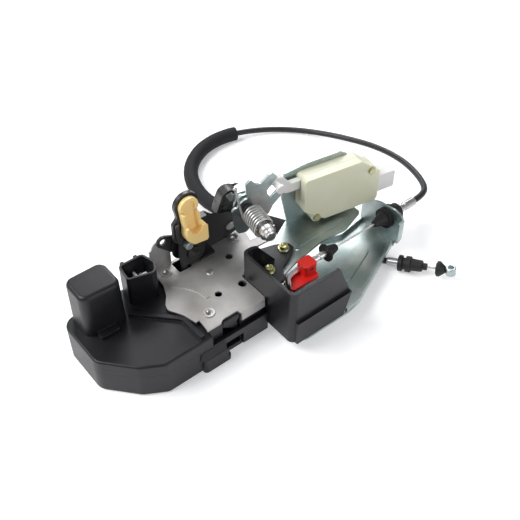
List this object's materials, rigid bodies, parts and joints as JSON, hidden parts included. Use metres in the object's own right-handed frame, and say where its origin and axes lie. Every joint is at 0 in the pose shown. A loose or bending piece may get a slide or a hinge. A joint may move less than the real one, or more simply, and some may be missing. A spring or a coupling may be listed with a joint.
{
  "type": "door latch actuator",
  "caption": "Door latch with tapped mounting plate, enclosed drive motor, fork and pawl, lever stack, plastic lock actuator and a sheathed release cable.",
  "frame": {"origin": "centre of the front tapped collar, on the top face of the back plate", "axes": "+X along the latch towards the cable bracket, +Y away from the striker mouth, +Z out of the plate"},
  "size_m": [0.336, 0.2687, 0.1052],
  "materials": {
    "black_plastic": "fine grained",
    "white_plastic": "smooth",
    "nylon": "translucent, satin",
    "red_plastic": "smooth",
    "tin": "bright",
    "satin_steel": "satin",
    "spring_steel": "drawn",
    "dark_steel": "oiled",
    "zinc": "zinc plated",
    "passivated": "yellow passivated",
    "black_coat": "dip coated",
    "brass": "plain",
    "rubber": "moulded",
    "sheath": "extruded",
    "foam": "closed cell foam"
  },
  "bodies": {
    "root": {"housing_lower": "black_plastic", "housing_cover": "black_plastic", "motor_cap": "black_plastic", "connector_socket": "black_plastic", "terminal_block": "white_plastic", "terminal_pins": "tin", "back_plate": "satin_steel", "threaded_collars": "satin_steel", "plate_rivet": "satin_steel", "latch_studs": "satin_steel", "gear_axles": "satin_steel", "mouth_bumper": "rubber", "latch_springs": "spring_steel", "guard": "black_plastic", "guard_screws": "passivated", "cable_bracket": "zinc", "bracket_screws": "passivated", "actuator_bracket": "zinc", "lock_case_front": "nylon", "lock_case_rear": "nylon", "lock_screws": "dark_steel", "lock_motor": "satin_steel", "lock_axle": "satin_steel", "lock_connector": "nylon", "lever_bracket": "black_coat", "hub_pin": "dark_steel", "bracket_rivet": "satin_steel", "pivot_bracket": "dark_steel", "pivot_pin": "zinc", "torsion_spring": "spring_steel", "pivot_bush": "black_plastic", "pivot_spacer": "zinc", "drive_motor": "satin_steel", "cable_grommet": "rubber", "cable_ferrule": "satin_steel", "cable_sheath": "sheath", "foam_sleeve": "foam", "far_ferrule": "satin_steel", "far_grommet": "rubber"},
    "drive": {"drive_gear": "white_plastic"},
    "motor_shaft": {"motor_pinion": "brass"},
    "sector": {"sector_lever": "satin_steel"},
    "pawl_body": {"pawl": "dark_steel"},
    "fork": {"fork_bolt": "dark_steel"},
    "handle": {"handle_lever": "black_coat", "stop_pin": "zinc"},
    "clip": {"rod_clip": "nylon"},
    "key": {"key_lever": "black_coat"},
    "lock_fork": {"lock_lever": "zinc"},
    "plunger": {"lock_plunger": "white_plastic"},
    "lock_gear": {"lock_pinion": "white_plastic"},
    "lock_shaft": {"lock_motor_gear": "brass"},
    "cam": {"cam_lever": "dark_steel"},
    "cable_near": {"cable_rod": "zinc", "cable_clip": "red_plastic", "inner_wire": "spring_steel", "cone_bumper": "rubber"},
    "cable_far": {"far_wire": "spring_steel", "far_cone": "rubber", "far_ring": "zinc"}
  },
  "joints": [
    {"name": "drive_gear_turn", "type": "hinge", "parent": "root", "child": "drive", "pos_m": [-0.06, 0.024, -0.025], "axis": [0, 0, 1], "range_deg": [0, 80]},
    {"name": "motor_turn", "type": "hinge", "parent": "root", "child": "motor_shaft", "pos_m": [-0.06, 0.048, -0.025], "axis": [0, 0, 1], "range_deg": [-322, 1]},
    {"name": "sector_turn", "type": "hinge", "parent": "root", "child": "sector", "pos_m": [-0.0312, 0.024, -0.022], "axis": [0, 0, 1], "range_deg": [-16.1, 0.1]},
    {"name": "pawl_turn", "type": "hinge", "parent": "root", "child": "pawl_body", "pos_m": [-0.004, 0.014, -0.016], "axis": [0, 0, 1], "range_deg": [-0.1, 35.72]},
    {"name": "fork_turn", "type": "hinge", "parent": "root", "child": "fork", "pos_m": [0.028, 0.012, -0.016], "axis": [0, 0, 1], "range_deg": [-50, 0]},
    {"name": "handle_turn", "type": "hinge", "parent": "root", "child": "handle", "pos_m": [0.0205, 0.048, 0.012], "axis": [0, -1, 0], "range_deg": [0, 12]},
    {"name": "rod_clip_turn", "type": "hinge", "parent": "handle", "child": "clip", "pos_m": [0.018, 0.046, 0.0595], "axis": [0, -1, 0], "range_deg": [0, 15]},
    {"name": "key_turn", "type": "hinge", "parent": "root", "child": "key", "pos_m": [0.0205, 0.057, 0.012], "axis": [0, -1, 0], "range_deg": [-12, 12]},
    {"name": "lock_lever_turn", "type": "hinge", "parent": "root", "child": "lock_fork", "pos_m": [0.062, 0.0345, 0.041], "axis": [-0.1736, -0.9848, 0], "range_deg": [0, 10.7]},
    {"name": "plunger_slide", "type": "slide", "parent": "root", "child": "plunger", "axis": [-0.9848, 0.1736, 0], "range_m": [-0.0001, 0.0061]},
    {"name": "lock_pinion_turn", "type": "hinge", "parent": "root", "child": "lock_gear", "pos_m": [0.12306, 0.02373, 0.0342], "axis": [-0.1736, -0.9848, 0], "range_deg": [-1, 86.94]},
    {"name": "lock_motor_turn", "type": "hinge", "parent": "root", "child": "lock_shaft", "pos_m": [0.13192, 0.02217, 0.02348], "axis": [-0.1736, -0.9848, 0], "range_deg": [-520.7, 5]},
    {"name": "cam_turn", "type": "hinge", "parent": "root", "child": "cam", "pos_m": [0.062, 0.0345, 0.041], "axis": [-0.1736, -0.9848, 0], "range_deg": [-12, 12]},
    {"name": "cable_pull", "type": "slide", "parent": "root", "child": "cable_near", "axis": [1, 0, 0], "range_m": [0, 0.012]},
    {"name": "far_wire_slide", "type": "slide", "parent": "root", "child": "cable_far", "axis": [0.5123, -0.8497, 0.125], "range_m": [-0.0001, 0.0121]}
  ],
  "couplings": [
    {"joint": "motor_turn", "follows": "drive_gear_turn", "ratio": -4},
    {"joint": "sector_turn", "follows": "drive_gear_turn", "ratio": -0.2},
    {"joint": "pawl_turn", "follows": "drive_gear_turn", "ratio": 0.444},
    {"joint": "plunger_slide", "follows": "lock_lever_turn", "m_per_rad": 0.032128},
    {"joint": "lock_pinion_turn", "follows": "lock_lever_turn", "ratio": 8.0321},
    {"joint": "lock_motor_turn", "follows": "lock_lever_turn", "ratio": -48.193},
    {"joint": "far_wire_slide", "follows": "cable_pull", "ratio": 1}
  ]
}
